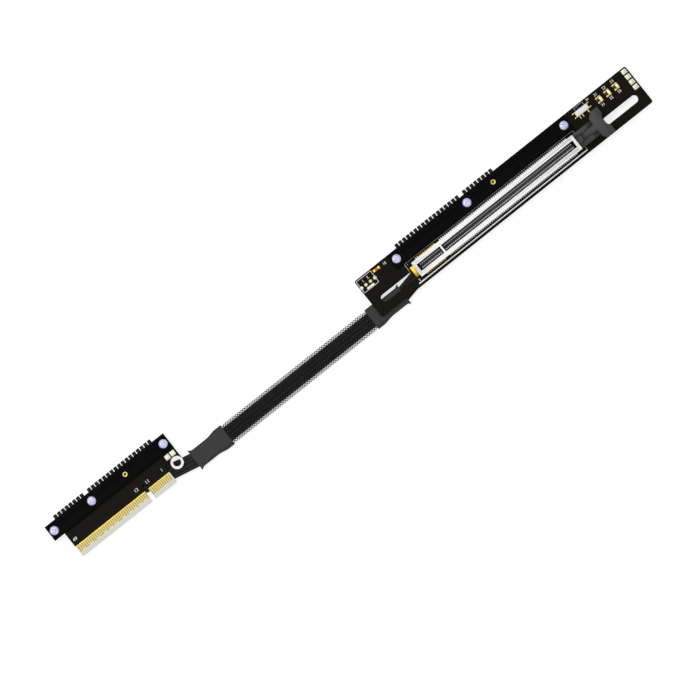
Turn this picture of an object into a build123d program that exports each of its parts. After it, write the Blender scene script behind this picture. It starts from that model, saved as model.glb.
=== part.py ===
from build123d import *
import math
import os
from dataclasses import dataclass

# Card riser cable: a socket board and a plug board joined by a flat bundle of
# twenty-five ribbons in a braided sleeve. It lies on its rear covers, socket up.
# Millimetres. X runs along the cable from plug to socket, Y towards the edge
# that the ribbons fold over, Z up. The origin is under the middle of the whole.

# Circuit boards
board_t = 1.6
board_gap = 106.1  # between the facing ends of the two boards
socket_board_w = 19.8
corner_r = 1.0
plug_rise = 0.3  # plug board's top edge above the socket board's

# Card socket: a full-length sixteen-lane body with its key wall
slot_start = 24.4
slot_tail = 37.2  # board left over past the socket
slot_end_wall = 1.8
slot_w = 7.5
slot_h = 11.25
slot_past_cover = 1.05  # cover's edge to the contacts' leads
slot_foot_h = 0.35
slot_foot_len = 1.4
cavity_w = 2.6
key_wall = 1.8
lead_in = 0.45
spine_w = 1.0
spine_h = 2.4

# Contacts
contact_pitch = 1.0
contact_w = 0.5
contact_t = 0.3
contact_tip = 9.6
contact_lean = 0.2
contact_gap = 0.05
contact_step = 3.0  # across the key, centre to centre
short_row = 11
long_row = 71
tongue_margin = 1.1  # outermost contact to the end of a card's tongue
card_play = 0.1
lead_t = 0.25
lead_out = 0.6
gold_first = 2
gold_count = 8

# Solder tab at the socket's near end
tab_w = 5.0
tab_foot = 1.7
tab_t = 0.35
tab_h = 2.5

# Card latch: two cheeks with a rocking lever between them
latch_len = 10.5
latch_h = 6.0
latch_low_h = 3.4
latch_floor = 0.8
lever_w = 2.8
lever_gap = 0.15
pivot_in = 5.1
pivot_h = 3.6
axle_r = 0.8
axle_gap = 0.05
axle_inset = 0.15
boss_r = 1.9
hook_clear = 0.4  # socket's end to the hook's tip
hook_h = 9.2
hook_nose = 1.0
paddle_in = 5.2
paddle_len = 6.05
paddle_w = 13.35
paddle_t = 1.4
paddle_h = 2.0
paddle_waist = 9.2
paddle_dent = 1.15
dent_w = 3.35
dent_slope = 1.7

# Mounting slots in the socket board
mount_len = 18.4
mount_w = 3.5
mount_v = 13.85
mount_near_in = 4.5
mount_far_in = 4.1

# Two-hole fan header, not fitted
header_pitch = 2.54
header_hole_r = 0.5
header_in = 3.28
header_v = 4.26

# Slide switch
switch_past_cover = 3.17  # cover's end to the switch's near foot
switch_v = 3.4
switch_len = 6.6
switch_w = 2.5
switch_h = 1.4
switch_travel = 1.5
switch_wall = 0.3
slider_w = 1.1
slider_plate_w = 1.5
slider_plate_d = 0.7
slider_h = 0.8
slider_out = 1.3
slider_gap = 0.05
pin_w = 0.5
pin_out = 1.6
pin_t = 0.2
pin_offsets = (-2.25, -0.75, 2.25)
foot_len = 1.2
foot_w = 0.45

# Light and resistor pairs, chip light, solder pads
pair_past_switch = 3.12  # switch's far foot to the first pair
pair_pitch = 4.54
pair_count = 3
pair_gap = 0.12
chip_v = 4.48
chip_len = 3.0
chip_w = 1.25
chip_h = 0.7
chip_end = 0.75
chip_end_h = 0.75
lamp_u = 11.1
lamp_v = 1.85
lamp_len = 3.6
pad_t = 0.05
socket_pad_l = 2.35
socket_pad_w = 2.1
socket_pad_in = 1.85
socket_pad_v = 1.74
socket_pad_pitch = 2.75
socket_pad_count = 4
plug_pad_size = 2.3
plug_pad_in = (4.8, 2.0)
pad_past_cover = 0.71

# Plug board: an eight-lane edge with its key notch, a wing and a screw lug
wing_len = 5.17
key_notch = 1.9
tongue_v = 20.4
notch_depth = 8.25
shoulder_v = 11.9
lug_zone = 8.23
lug_r = 2.95
lug_hole_r = 1.75
lug_v = 13.8
bevel_len = 1.3
bevel_depth = 0.45
finger_w = 0.7
finger_back = 2.1  # card edge to the fingers' tips
finger_len = 3.4
ground_lead = 0.6  # ground fingers reach further towards the edge
front_grounds = (12, 15, 18, 20, 23, 24, 27, 28, 31, 34, 37, 38, 41, 42, 45, 46, 49)
rear_grounds = (13, 16, 18, 21, 22, 25, 26, 29, 32, 35, 36, 39, 40, 43, 44, 47, 49)
finger_t = 0.05
plug_long_row = 38

# Clamp covers
cover_w = 7.5
front_plate = 1.4
front_room = 1.0
rear_plate = 0.5
cover_edge = 0.3
pocket_side = 0.3
pocket_room = 0.6  # past the ribbons' soldered ends
comb_wall = 0.9
socket_cover_start = 18.1
cover_past_slot = 2.8
screw_inset = 2.6
screw_v = 3.73
screw_r = 1.0
screw_sides = 12  # of the shanks and their holes, to keep the mesh light
screw_gap = 0.1
tip_gap = 0.03
head_r = 2.0
head_h = 1.3
insert_r = 1.12
insert_bore_r = 0.5
insert_proud = 0.1
window_r = 1.15
eye_v = 3.75
socket_eye_u = 74.3
plug_eye_in = 23.8

# Ribbons: a near bank for the lanes and a far bank for the side band
ribbon_w = 1.66
ribbon_t = 0.46
lane_count = 17
aux_count = 8
screw_room = 0.205  # ribbon to the screw between the banks
socket_first = 6.28  # cover's cable end to the first ribbon
plug_first = 6.9
plug_last = 6.6175  # wing's end to the last ribbon
bump = 1.7
hug = 0.05
bend_chords = 3  # odd, so that a flat chord stands outermost
front_leg = 5.0
slope_v = 4.6
join_v = 5.4
fan_room = 1.53  # least straight leg before a ribbon's kink
columns = 4
column_gap = 0.09
layers = 7
layer_gap = 0.06
stack_gap = 0.1
leg_room = 0.62

# Heat-shrink tubes, sleeve and core
shrink_wall = 0.3
shrink_play = 0.345
shrink_board_gap = 0.05
flare_len = 1.6
flare_w = 9.9
waist_len = 7.4
swell_len = 6.0
shrink_end_len = 3.0
shrink_r = 1.2
corner_chords = 2
mouth_u = 13.7
plug_mouth = 3.7
cable_v = 17.7
core_depth = 6.0
core_squeeze = 0.18
core_r = 0.9
sleeve_w = 9.2
sleeve_wall = 0.25
sleeve_play = 0.05
sleeve_back = 0.5  # tube's swell to the sleeve's end
kink_in = 1.0

# Worked out from the above
row_len = (short_row + long_row - 2) * contact_pitch + contact_step
row_reach = row_len + 2 * (tongue_margin + card_play)
slot_len = row_reach + 2 * slot_end_wall
slot_end = slot_start + slot_len
slot_v = cover_w + slot_past_cover + lead_out + slot_w / 2
socket_len = slot_end + slot_tail
socket_cover = (socket_cover_start, slot_end + cover_past_slot)
channel_w = lever_w + 2 * lever_gap
hook_reach = pivot_in - hook_clear
switch_u = socket_cover[1] + switch_past_cover + foot_len + switch_len / 2
pair_u = switch_u + switch_len / 2 + foot_len + pair_past_switch + chip_w + pair_gap / 2
bank_step = ribbon_w + 2 * (screw_r + screw_room)
key_edge = (contact_step - key_notch) / 2
long_tongue = (plug_long_row - 1) * contact_pitch + key_edge + tongue_margin
short_tongue = (short_row - 1) * contact_pitch + key_edge + tongue_margin
plug_len = wing_len + long_tongue + key_notch + short_tongue + lug_zone
bank_reach = plug_len - plug_first - plug_last
ribbon_pitch = (bank_reach - bank_step) / (lane_count + aux_count - 2)
pocket_end_v = front_leg + pocket_room
column_pitch = ribbon_w + column_gap
shrink_len = flare_len + waist_len + swell_len + shrink_end_len
sleeve_hold = shrink_end_len - sleeve_back
fan_reach = socket_cover_start + socket_first + bank_reach - (mouth_u - kink_in)
fan_drop = cable_v + (columns - 1) / 2 * column_pitch - join_v - fan_room
layer_pitch = ribbon_t + layer_gap
stack_h = layers * layer_pitch - layer_gap
stack_w = (columns - 1) * column_pitch + ribbon_w
rear_h = rear_plate + stack_gap + stack_h + leg_room
front_h = front_room + front_plate
face_z = rear_h + board_t
cover_z = face_z + front_h
total_len = plug_len + board_gap + socket_len
shrink_h = rear_h - shrink_board_gap
shrink_waist_w = stack_w + 2 * (shrink_play + shrink_wall)
shrink_end_w = sleeve_w + 2 * (sleeve_play + shrink_wall)
total_w = plug_rise + bump + cable_v + max(flare_w, shrink_end_w) / 2
stack_z = rear_plate + stack_gap + stack_h / 2
cable_z = shrink_h / 2


@dataclass
class Place:
    """A board's own plan: u from its left end, v down from its top edge."""

    x0: float
    top: float

    def x(self, u):
        return self.x0 + u

    def y(self, v):
        return self.top - v

    def block(self, u, v, z):
        """A block between two values of u, of v and of z."""
        corner = Location((self.x(u[0]), self.y(v[1]), z[0]))
        low = (Align.MIN, Align.MIN, Align.MIN)
        return corner * Box(u[1] - u[0], v[1] - v[0], z[1] - z[0], align=low)

    def rod(self, u, v, z, r):
        """An upright round bar about (u, v) between two values of z."""
        base = Location((self.x(u), self.y(v), z[0]))
        centred = (Align.CENTER, Align.CENTER, Align.MIN)
        return base * Cylinder(r, z[1] - z[0], align=centred)

    def shank(self, u, v, z, r):
        """An upright many-sided bar about (u, v), for screws and their holes."""
        outline = RegularPolygon(r, screw_sides, major_radius=False)
        return extrude(Location((self.x(u), self.y(v), z[0])) * outline, amount=z[1] - z[0])


plug = Place(-total_len / 2, total_w / 2 - bump)
socket = Place(total_len / 2 - socket_len, total_w / 2 - bump - plug_rise)
cable_y = socket.y(cable_v)
board_z = (rear_h, face_z)


def span(centre, size):
    """The two ends of a size about its centre."""
    return (centre - size / 2, centre + size / 2)


def prism(points, plane, depth):
    """A closed outline drawn on a plane and extruded along its normal."""
    return extrude(plane * make_face(Polyline(*points, close=True)), amount=depth)


def strip(points, width):
    """Outline of a band of constant width about a bent line, with mitred bends."""
    left, right = [], []
    last = len(points) - 1
    for i, (px, py) in enumerate(points):
        before = points[max(i - 1, 0)]
        here = points[i]
        after = points[min(i + 1, last)]
        into = math.atan2(here[1] - before[1], here[0] - before[0]) if i else None
        out = math.atan2(after[1] - here[1], after[0] - here[0]) if i < last else into
        into = out if into is None else into
        half_turn = math.remainder(out - into, 2 * math.pi) / 2
        reach = width / 2 / math.cos(half_turn)
        side = into + half_turn + math.pi / 2
        left.append((px + reach * math.cos(side), py + reach * math.sin(side)))
        right.append((px - reach * math.cos(side), py - reach * math.sin(side)))
    return left + right[::-1]


def ribbon(place, u, index, mouth_x, toward):
    """One flat ribbon: a front leg, the fold over the board's edge, the rear leg
    down to its own layer, and the straight run of the fan into the heat-shrink."""
    column, layer = divmod(index, layers)
    x = place.x(u)
    layer_z = stack_z + ((layers - 1) / 2 - layer) * layer_pitch
    front_z = face_z + hug + ribbon_t / 2
    rear_z = rear_h - hug - ribbon_t / 2
    bend_r = (front_z - rear_z) / 2
    chord = math.pi / bend_chords
    bend_y = place.top + bump - bend_r * math.cos(chord / 2) - ribbon_t / 2
    bend_z = (front_z + rear_z) / 2
    side_path = [(place.y(front_leg), front_z)]
    for i in range(bend_chords + 1):
        turn = math.pi / 2 - i * chord
        side_path.append((bend_y + bend_r * math.cos(turn), bend_z + bend_r * math.sin(turn)))
    side_path.append((place.y(slope_v), layer_z))
    side_path.append((place.y(join_v), layer_z))
    side_plane = Plane.YZ.offset(x - ribbon_w / 2)
    fold = prism(strip(side_path, ribbon_t), side_plane, ribbon_w)

    column_y = cable_y + ((columns - 1) / 2 - column) * column_pitch
    kink_x = mouth_x + toward * kink_in
    corner_y = column_y + fan_drop / fan_reach * abs(kink_x - x)
    plan_path = [
        (x, place.y(join_v)),
        (x, corner_y),
        (kink_x, column_y),
        (mouth_x + toward * core_depth, column_y),
    ]
    plan_plane = Plane.XY.offset(layer_z - ribbon_t / 2)
    return fold + prism(strip(plan_path, ribbon_w), plan_plane, ribbon_t)


def bank_positions(cover_end, first, toward):
    """Place along the board of every ribbon, from the nearest to the cable on."""
    start = cover_end - toward * first
    lanes = [start - toward * ribbon_pitch * i for i in range(lane_count)]
    aux = [lanes[-1] - toward * (bank_step + ribbon_pitch * i) for i in range(aux_count)]
    return lanes, aux


def cover_screws_at(cover, lanes, aux):
    """The three screws of a clamp cover: one at each end, one between the banks."""
    return [cover[0] + screw_inset, (lanes[-1] + aux[0]) / 2, cover[1] - screw_inset]


def pockets(place, bank, z):
    """The room for one bank of ribbons, open over the board's top edge."""
    half = ribbon_w / 2 + pocket_side
    u = (min(bank) - half, max(bank) + half)
    return u, place.block(u, (-1, pocket_end_v), z)


def edge_break(solid, outward):
    """The small chamfer round a cover's outer face."""
    return chamfer(solid.faces().sort_by(Axis.Z)[outward].edges(), cover_edge)


def front_cover(place, cover, lanes, aux, eye_u):
    """The plate over the ribbons' soldered ends, with a pocket for each bank."""
    body = edge_break(place.block(cover, (0, cover_w), (face_z, cover_z)), -1)
    for bank in (lanes, aux):
        body -= pockets(place, bank, (face_z - 1, face_z + front_room))[1]
    for u in cover_screws_at(cover, lanes, aux):
        body -= place.shank(u, screw_v, (face_z, cover_z + 1), screw_r + screw_gap)
    return body - place.rod(eye_u, eye_v, (face_z, cover_z + 1), insert_r)


def rear_cover(place, cover, lanes, aux, eye_u):
    """The deeper tray that holds the fan of ribbons, open along its lower edge."""
    body = edge_break(place.block(cover, (0, cover_w), (0, rear_h)), 0)
    for bank in (lanes, aux):
        u, mouth = pockets(place, bank, (rear_h - ribbon_t - stack_h / 3, rear_h + 1))
        body -= mouth
        body -= place.block(u, (comb_wall, cover_w + 1), (rear_plate, rear_h + 1))
    for u in cover_screws_at(cover, lanes, aux):
        body -= place.shank(u, screw_v, (-1, rear_h + 1), screw_r + tip_gap)
    return body - place.rod(eye_u, eye_v, (-1, rear_plate + stack_gap), window_r)


def cover_screw(place, u):
    """A small pan-head screw from the front cover to the rear cover's face."""
    shank = place.shank(u, screw_v, (cover_edge, cover_z), screw_r)
    return shank + place.rod(u, screw_v, (cover_z, cover_z + head_h), head_r)


def insert(place, u):
    """The brass bush pressed in the front cover."""
    z = (face_z + front_room, cover_z + insert_proud)
    return place.rod(u, eye_v, z, insert_r) - place.rod(u, eye_v, z, insert_bore_r)


def end_set(place, cover, eye_u, first, toward, mouth_x):
    """Covers, screws, bush and ribbons of one end."""
    cover_end = cover[1] if toward > 0 else cover[0]
    lanes, aux = bank_positions(cover_end, first, toward)
    screws = cover_screws_at(cover, lanes, aux)
    count = len(lanes)
    return {
        "front_cover": front_cover(place, cover, lanes, aux, eye_u),
        "rear_cover": rear_cover(place, cover, lanes, aux, eye_u),
        "cover_screws": [cover_screw(place, u) for u in screws],
        "cover_insert": insert(place, eye_u),
        "lane_ribbons": [
            ribbon(place, u, i, mouth_x, toward) for i, u in enumerate(lanes)
        ],
        "aux_ribbons": [
            ribbon(place, u, count + i, mouth_x, toward) for i, u in enumerate(aux)
        ],
    }, screws


def screw_holes(place, screws):
    """Clearance holes for the cover screws through a board."""
    z = (rear_h - 1, face_z + 1)
    return [place.shank(u, screw_v, z, screw_r + screw_gap) for u in screws]


def socket_board(screws):
    """The long board, with its two mounting slots and the header's holes."""
    plan = RectangleRounded(socket_len, socket_board_w, corner_r)
    middle = Location((socket.x(socket_len / 2), socket.y(socket_board_w / 2), rear_h))
    board = extrude(middle * plan, amount=board_t)
    near = mount_near_in + mount_len / 2
    far = socket_len - mount_far_in - mount_len / 2
    for u in (near, far):
        hole = Location((socket.x(u), socket.y(mount_v), rear_h)) * SlotOverall(mount_len, mount_w)
        board -= extrude(hole, amount=board_t)
    for i in range(2):
        z = (rear_h - 1, face_z + 1)
        board -= socket.rod(header_in + i * header_pitch, header_v, z, header_hole_r)
    for hole in screw_holes(socket, screws):
        board -= hole
    return board


def contact_offsets():
    """Every contact's place along the socket, and the row's first one."""
    first = slot_start + slot_end_wall + tongue_margin + card_play
    short = [first + i * contact_pitch for i in range(short_row)]
    long = [short[-1] + contact_step + i * contact_pitch for i in range(long_row)]
    return short, long


def slot_housing():
    """The socket's body: two card cavities with a lead-in, a spine between the
    contact rows, and end feet that lift it clear of the leads."""
    half = slot_w / 2
    v = (slot_v - half, slot_v + half)
    top = face_z + slot_h
    foot_z = (face_z, face_z + slot_foot_h)
    body = socket.block((slot_start, slot_end), v, (foot_z[1], top))
    body += socket.block((slot_start, slot_start + slot_foot_len), v, foot_z)
    body += socket.block((slot_end - slot_foot_len, slot_end), v, foot_z)
    short, long = contact_offsets()
    reach = tongue_margin + card_play
    key = (short[-1] + long[0]) / 2
    cavities = ((short[0] - reach, key - key_wall / 2), (key + key_wall / 2, long[-1] + reach))
    for u in cavities:
        body -= socket.block(u, span(slot_v, cavity_w), (face_z - 1, top + 1))
        mouth = Rectangle(u[1] - u[0] + 2 * lead_in, cavity_w + 2 * lead_in)
        at = Location((socket.x(sum(u) / 2), socket.y(slot_v), top))
        body -= extrude(at * mouth, amount=-lead_in, taper=45)
    return body + socket.block(
        (cavities[0][0] - 1, cavities[1][1] + 1), span(slot_v, spine_w), (foot_z[1], face_z + spine_h)
    )


def contact(u, side):
    """A spring contact: a foot out under the wall and a blade that leans in and
    narrows to its tip."""
    wall = cavity_w / 2 - contact_gap
    points = [
        (side * (slot_w / 2 + lead_out), 0),
        (side * (slot_w / 2 + lead_out), lead_t),
        (side * wall, lead_t),
        (side * (wall - contact_lean - contact_t), contact_tip),
        (side * (wall - contact_t), 0),
    ]
    foot = Plane.YZ.offset(socket.x(u) - contact_w / 2)
    foot.origin += Vector(0, socket.y(slot_v), face_z)
    return prism(points, foot, contact_w)


def slot_tab():
    """The gold solder tab against the socket's near end."""
    v = span(slot_v, tab_w)
    foot = socket.block((slot_start - tab_foot, slot_start), v, (face_z, face_z + tab_t))
    wall = socket.block((slot_start - tab_t, slot_start), v, (face_z, face_z + tab_h))
    return foot + wall


def latch_base():
    """The two cheeks of the card latch, with the axle's bore across them."""
    side = [(0, 0), (latch_len, 0), (latch_len, latch_low_h), (latch_len - 3, latch_h), (0, latch_h)]
    near = Plane((socket.x(slot_end), socket.y(slot_v - slot_w / 2), face_z), (1, 0, 0), (0, -1, 0))
    body = prism(side, near, slot_w)
    u = (slot_end - 1, slot_end + latch_len + 1)
    body -= socket.block(u, span(slot_v, channel_w), (face_z + latch_floor, face_z + latch_h + 1))
    return body - across(slot_w + 2, axle_r + axle_gap)


def across(length, r):
    """A round bar along the latch's axle."""
    axle = Location((socket.x(slot_end + pivot_in), socket.y(slot_v), face_z + pivot_h), (90, 0, 0))
    return axle * Cylinder(r, length)


def card_latch():
    """The rocking lever: hook, round boss, arm, stub axles and wide paddle."""
    boss = across(lever_w, boss_r)
    side = [
        (-hook_reach, hook_h - 2 * hook_nose),
        (-hook_reach, hook_h - hook_nose),
        (-hook_reach + hook_nose, hook_h),
        (-hook_reach / 2, hook_h),
        (-boss_r * 0.9, paddle_h + paddle_t / 2),
        (boss_r, paddle_h + paddle_t / 2),
        (paddle_in, paddle_h + paddle_t),
        (paddle_in + 1, paddle_h + paddle_t),
        (paddle_in + 1, paddle_h),
        (paddle_in, paddle_h),
        (boss_r * 0.8, -boss_r * 0.5),
        (-boss_r, 0),
        (-hook_reach + hook_nose, hook_h - 2.4 * hook_nose),
    ]
    pivot = Vector(socket.x(slot_end + pivot_in), socket.y(slot_v), face_z + pivot_h)
    arm = prism(side, Plane(pivot + Vector(0, lever_w / 2, 0), (1, 0, 0), (0, -1, 0)), lever_w)
    half, waist = paddle_w / 2, paddle_waist / 2
    inner, outer = paddle_in, paddle_in + paddle_len
    dent = outer - paddle_dent
    half_dent = dent_w / 2
    plan = [
        (inner, -waist),
        (inner + 1.4, -half),
        (outer, -half),
        (outer, -half_dent - dent_slope),
        (dent, -half_dent),
        (dent, half_dent),
        (outer, half_dent + dent_slope),
        (outer, half),
        (inner + 2.4, half),
        (inner, waist),
    ]
    paddle = prism(plan, Plane(pivot + Vector(0, 0, paddle_h)), paddle_t)
    axles = across(slot_w - 2 * axle_inset, axle_r)
    return boss + arm + paddle + axles


def switch_parts():
    """The slide switch: its shell with the slider's pocket, the slider, the pins."""
    u = switch_u
    base = face_z
    shell = socket.block(span(u, switch_len), span(switch_v, switch_w), (base, base + switch_h))
    face_v = switch_v - switch_w / 2
    mid_z = base + switch_h / 2
    plate_room = slider_plate_w + switch_travel + 2 * slider_gap
    window = slider_w + switch_travel + 2 * slider_gap
    z = span(mid_z, slider_h + 2 * slider_gap)
    depth = (face_v + switch_wall, face_v + switch_wall + slider_plate_d + 2 * slider_gap)
    shell -= socket.block(span(u, plate_room), depth, z)
    shell -= socket.block(span(u, window), (face_v - 1, depth[0]), z)
    rest_u = u - switch_travel / 2
    z = span(mid_z, slider_h)
    plate_v = (depth[0] + slider_gap, depth[1] - slider_gap)
    slider = socket.block(span(rest_u, slider_plate_w), plate_v, z)
    slider += socket.block(span(rest_u, slider_w), (face_v - slider_out, plate_v[1]), z)
    low_v = switch_v + switch_w / 2
    z = (base, base + pin_t)
    pins = [
        socket.block(span(u + offset, pin_w), (low_v, low_v + pin_out), z)
        for offset in pin_offsets
    ]
    for end_u in (u - switch_len / 2 - foot_len, u + switch_len / 2):
        for v in (face_v, low_v - foot_w):
            pins.append(socket.block((end_u, end_u + foot_len), (v, v + foot_w), z))
    return shell, slider, pins


def chips():
    """The three light and resistor pairs and the chip light: bodies and ends."""
    lights, resistors, ends = [], [], []
    v = span(chip_v, chip_len)
    inner_v = (v[0] + chip_end, v[1] - chip_end)
    shift = (chip_w + pair_gap) / 2
    low, high = (face_z, face_z + chip_h), (face_z, face_z + chip_end_h)
    for i in range(pair_count):
        middle = pair_u + i * pair_pitch
        for bodies, u in ((resistors, middle - shift), (lights, middle + shift)):
            u = span(u, chip_w)
            bodies.append(socket.block(u, inner_v, low))
            ends.append(socket.block(u, (v[0], inner_v[0]), high))
            ends.append(socket.block(u, (inner_v[1], v[1]), high))
    u, v = span(lamp_u, lamp_len), span(lamp_v, chip_w)
    inner = (u[0] + lamp_len / 3, u[1] - lamp_len / 3)
    lamp = socket.block(inner, v, low)
    ends.append(socket.block((u[0], inner[0]), v, high))
    ends.append(socket.block((inner[1], u[1]), v, high))
    return lights, resistors, lamp, ends


def socket_pads():
    """The column of tinned pads by the socket board's far end."""
    u = span(socket_len - socket_pad_in, socket_pad_l)
    centres = [socket_pad_v + i * socket_pad_pitch for i in range(socket_pad_count)]
    z = (face_z, face_z + pad_t)
    return [socket.block(u, span(v, socket_pad_w), z) for v in centres]


def plug_board(screws):
    """The plug board: wing, keyed and bevelled edge, shoulder and screw lug."""
    key_u = wing_len + long_tongue
    short_u = key_u + key_notch
    lug_u = plug_len - lug_r
    top = (0, cover_w)
    board = plug.block((0, wing_len), top, board_z)
    board += plug.block((wing_len, short_u + short_tongue), (0, tongue_v), board_z)
    board += plug.block((short_u + short_tongue, plug_len), (0, shoulder_v), board_z)
    board += plug.block((plug_len - 2 * lug_r, plug_len), (shoulder_v - 1, lug_v), board_z)
    board += plug.rod(lug_u, lug_v, board_z, lug_r)
    notch_r = key_notch / 2
    notch_v = tongue_v - notch_depth + notch_r
    board -= plug.block((key_u, short_u), (notch_v, tongue_v + 1), board_z)
    board -= plug.rod(key_u + notch_r, notch_v, board_z, notch_r)
    board -= plug.rod(lug_u, lug_v, board_z, lug_hole_r)
    for hole in screw_holes(plug, screws):
        board -= hole
    tip, root = plug.y(tongue_v), plug.y(tongue_v - bevel_len)
    for face, inward in ((rear_h, 1), (face_z, -1)):
        bevel = [(tip, face), (tip, face + inward * bevel_depth), (root, face)]
        board -= prism(bevel, Plane.YZ.offset(plug.x(0)), plug_len)
    return board


def edge_fingers(z, grounds):
    """Gold fingers of one face: the short row, the key, then the long row, where
    the ground contacts reach furthest."""
    short_end = wing_len + long_tongue + key_notch + short_tongue - tongue_margin
    short = [short_end - i * contact_pitch for i in range(short_row)]
    long = [short[-1] - contact_step - i * contact_pitch for i in range(plug_long_row)]
    tip_v = tongue_v - finger_back
    root_v = tip_v - finger_len
    fingers = [plug.block(span(u, finger_w), (root_v, tip_v), z) for u in short]
    for number, u in enumerate(long, short_row + 1):
        reach = tip_v if number in grounds else tip_v - ground_lead
        fingers.append(plug.block(span(u, finger_w), (root_v, reach), z))
    return fingers


def plug_pads():
    """Two tinned pads on each face, above the lug."""
    pads = []
    v = (cover_w + pad_past_cover, cover_w + pad_past_cover + plug_pad_size)
    for z in ((face_z, face_z + pad_t), (rear_h - pad_t, rear_h)):
        for inset in plug_pad_in:
            u = span(plug_len - inset, plug_pad_size)
            pads.append(plug.block(u, v, z))
    return pads


def tube_section(x, width, height, r):
    """A rectangle across the cable at x, its corners rounded in a few chords."""
    points = []
    for quarter in range(4):
        sign_y = 1 if quarter in (0, 3) else -1
        sign_z = 1 if quarter < 2 else -1
        for step in range(corner_chords + 1):
            turn = (quarter + step / corner_chords) * math.pi / 2
            y = sign_y * (width / 2 - r) + r * math.cos(turn)
            z = sign_z * (height / 2 - r) + r * math.sin(turn)
            points.append((y, z))
    plane = Plane((x, cable_y, cable_z), (0, 1, 0), (1, 0, 0))
    return plane * make_face(Polyline(*points, close=True))


def heat_shrink(mouth_x, toward):
    """The shrunk tube: flared mouth, waist on the ribbons, swell over the sleeve."""
    stations = [
        (0, flare_w),
        (flare_len, shrink_waist_w),
        (flare_len + waist_len, shrink_waist_w),
        (flare_len + waist_len + swell_len, shrink_end_w),
        (shrink_len, shrink_end_w),
    ]
    inside_h = shrink_h - 2 * shrink_wall
    inside_r = shrink_r - shrink_wall
    outer, inner = [], []
    for along, width in stations:
        x = mouth_x + toward * along
        outer.append(tube_section(x, width, shrink_h, shrink_r))
        inner.append(tube_section(x, width - 2 * shrink_wall, inside_h, inside_r))
    return loft(outer, ruled=True) - loft(inner, ruled=True)


def cable(start_x, end_x):
    """The core between the ribbons' ends and the sleeve between the tubes."""
    core_h = stack_h - core_squeeze
    core_x = (start_x + core_depth, end_x - core_depth)
    core = extrude(tube_section(core_x[0], stack_w, core_h, core_r), amount=core_x[1] - core_x[0])
    sleeve_h = shrink_h - 2 * (shrink_wall + sleeve_play)
    hold = shrink_len - sleeve_hold
    x = (start_x + hold, end_x - hold)
    r = shrink_r - shrink_wall + sleeve_play
    outer = tube_section(x[0], sleeve_w, sleeve_h, r)
    inside = 2 * sleeve_wall
    inner = tube_section(x[0], sleeve_w - inside, sleeve_h - inside, r - sleeve_wall)
    return core, extrude(outer - inner, amount=x[1] - x[0])


def build():
    """Every node's name with its solid or its list of solids."""
    plug_mouth_x = plug.x(plug_len + plug_mouth)
    socket_mouth_x = socket.x(mouth_u)
    socket_end, socket_screws = end_set(
        socket, socket_cover, socket_eye_u, socket_first, -1, socket_mouth_x
    )
    plug_end, plug_screws = end_set(
        plug, (0, plug_len), plug_len - plug_eye_in, plug_first, 1, plug_mouth_x
    )
    nodes = {"socket_" + name: shape for name, shape in socket_end.items()}
    nodes.update({"plug_" + name: shape for name, shape in plug_end.items()})

    short, long = contact_offsets()
    gold = short[gold_first : gold_first + gold_count]
    signal = [u for u in short + long if u not in gold]
    shell, slider, pins = switch_parts()
    lights, resistors, lamp, ends = chips()
    core, sleeve = cable(plug_mouth_x, socket_mouth_x)
    nodes.update(
        {
            "socket_board": socket_board(socket_screws),
            "slot_housing": slot_housing(),
            "power_contacts": [contact(u, side) for side in (1, -1) for u in gold],
            "signal_contacts_upper": [contact(u, 1) for u in signal],
            "signal_contacts_lower": [contact(u, -1) for u in signal],
            "slot_solder_tab": slot_tab(),
            "latch_base": latch_base(),
            "card_latch": card_latch(),
            "switch_shell": shell,
            "switch_slider": slider,
            "switch_pins": pins,
            "status_lights": lights,
            "light_resistors": resistors,
            "chip_lamp": lamp,
            "chip_ends": ends,
            "socket_solder_pads": socket_pads(),
            "plug_board": plug_board(plug_screws),
            "edge_fingers_front": edge_fingers((face_z, face_z + finger_t), front_grounds),
            "edge_fingers_rear": edge_fingers((rear_h - finger_t, rear_h), rear_grounds),
            "plug_solder_pads": plug_pads(),
            "socket_heat_shrink": heat_shrink(socket_mouth_x, -1),
            "plug_heat_shrink": heat_shrink(plug_mouth_x, 1),
            "cable_core": core,
            "braided_sleeve": sleeve,
        }
    )
    return nodes


os.makedirs("parts", exist_ok=True)
for node, shape in build().items():
    whole = Compound(children=shape) if isinstance(shape, list) else shape
    export_step(whole, f"parts/{node}.step")
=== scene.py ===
"""Looks of a card riser cable: a socket board, a plug board and the braided cable between them.

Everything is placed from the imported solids. Sizes in the classes are millimetres, and a finished
mesh is scaled to metres once, when its object is made.
"""

from __future__ import annotations

import logging
import math
from bisect import bisect_right
from dataclasses import dataclass, field
from enum import Enum

import bmesh
import bpy
from mathutils import Matrix, Vector


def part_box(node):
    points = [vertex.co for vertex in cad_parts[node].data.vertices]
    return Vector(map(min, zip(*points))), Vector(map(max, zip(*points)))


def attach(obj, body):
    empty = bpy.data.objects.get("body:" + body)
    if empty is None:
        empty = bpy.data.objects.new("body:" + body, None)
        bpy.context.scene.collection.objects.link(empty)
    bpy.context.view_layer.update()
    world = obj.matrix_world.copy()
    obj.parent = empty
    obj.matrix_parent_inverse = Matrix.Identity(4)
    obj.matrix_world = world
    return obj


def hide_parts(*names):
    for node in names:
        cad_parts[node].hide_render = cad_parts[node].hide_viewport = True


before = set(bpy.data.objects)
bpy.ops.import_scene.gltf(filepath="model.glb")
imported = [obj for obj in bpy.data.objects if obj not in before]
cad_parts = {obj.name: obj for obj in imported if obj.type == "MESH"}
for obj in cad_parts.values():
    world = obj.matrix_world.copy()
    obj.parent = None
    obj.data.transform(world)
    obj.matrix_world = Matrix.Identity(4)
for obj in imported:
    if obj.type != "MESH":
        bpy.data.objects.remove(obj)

log = logging.getLogger("riser")

MM = 0.001
UP = Vector((0, 0, 1))

Colour = tuple[float, float, float, float]
Point = tuple[float, float]


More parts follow.
